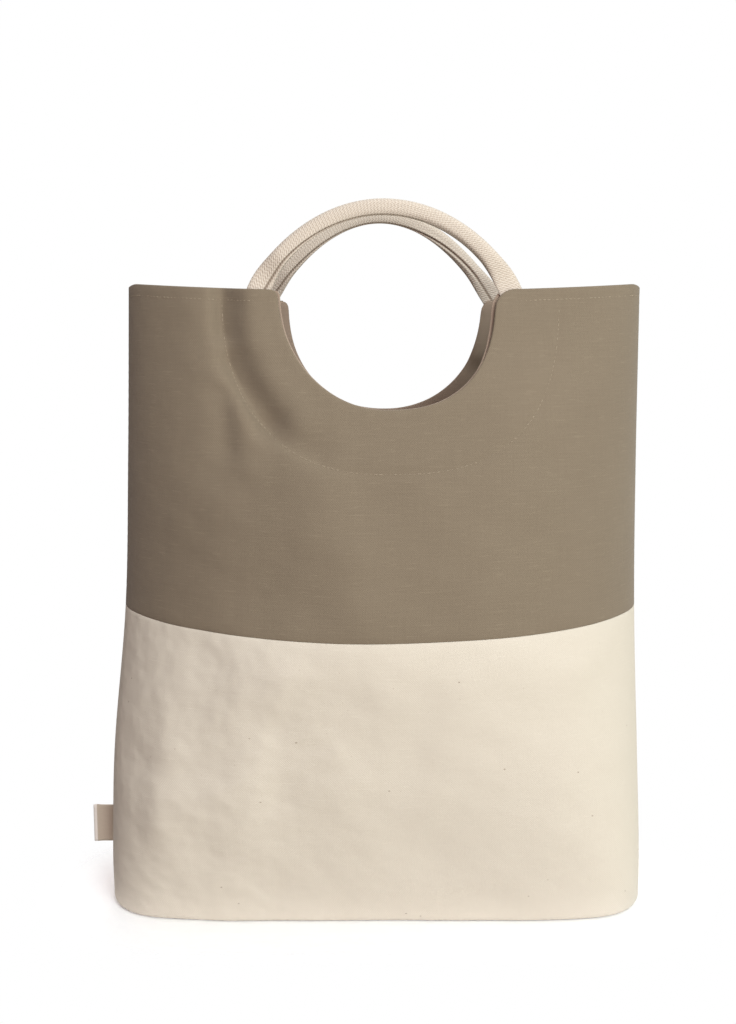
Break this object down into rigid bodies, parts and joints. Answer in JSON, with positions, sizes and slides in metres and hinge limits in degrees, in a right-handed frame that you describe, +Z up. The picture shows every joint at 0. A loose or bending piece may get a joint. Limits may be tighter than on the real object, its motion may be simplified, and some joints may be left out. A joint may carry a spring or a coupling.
{
  "type": "shopper bag",
  "caption": "Soft canvas shopper with a colour-split body on a flat base, hand cut-outs in its top edge and rolled webbing handles above them.",
  "frame": {"origin": "middle of the base's underside, on the floor", "axes": "+Z up, -Y out of the front, +X to the right as seen from the front"},
  "size_m": [0.3883, 0.1842, 0.4804],
  "materials": {
    "taupe_canvas": "matte woven cotton canvas",
    "natural_canvas": "matte unbleached cotton canvas with seed flecks",
    "cotton_webbing": "matte woven cotton webbing",
    "label_tape": "matte woven tape, bare"
  },
  "bodies": {
    "root": {"base": "natural_canvas", "lower_front": "natural_canvas", "lower_back": "natural_canvas", "upper_front": "taupe_canvas", "upper_back": "taupe_canvas", "facing_front": "taupe_canvas", "facing_back": "taupe_canvas", "handle_front": "cotton_webbing", "handle_back": "cotton_webbing", "side_label": "label_tape"}
  },
  "joints": []
}
